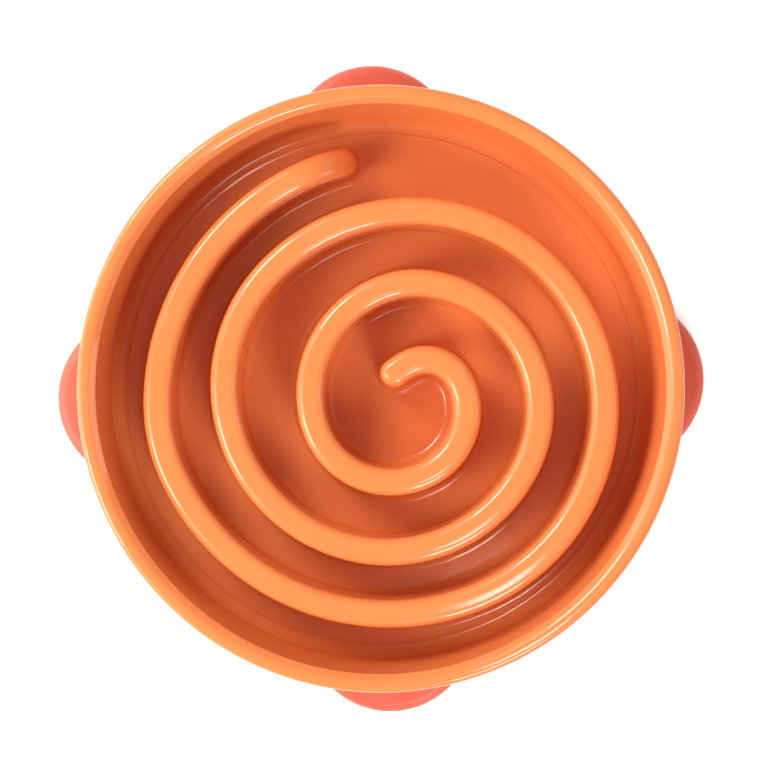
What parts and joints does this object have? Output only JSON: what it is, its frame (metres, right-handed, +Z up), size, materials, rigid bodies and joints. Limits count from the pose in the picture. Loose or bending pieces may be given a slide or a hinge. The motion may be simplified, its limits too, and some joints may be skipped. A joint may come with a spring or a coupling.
{
  "type": "slow feeder bowl",
  "caption": "Round pet bowl whose floor carries a long upright spiral ridge with a hooked inner end, standing on crescent rubber feet.",
  "frame": {"origin": "middle of the underside, on the surface that the feet stand on", "axes": "+Z up along the bowl's axis; +X towards the right foot and +Y towards the back foot, by whose side the ridge's outer end stands"},
  "size_m": [0.3, 0.3, 0.06],
  "materials": {
    "bowl_plastic": "glossy injection-moulded plastic, pale orange, coloured through",
    "foot_rubber": "smooth coral rubber with a soft sheen"
  },
  "bodies": {
    "root": {"bowl": "bowl_plastic", "foot_right": "foot_rubber", "foot_back": "foot_rubber", "foot_left": "foot_rubber", "foot_front": "foot_rubber"}
  },
  "joints": []
}
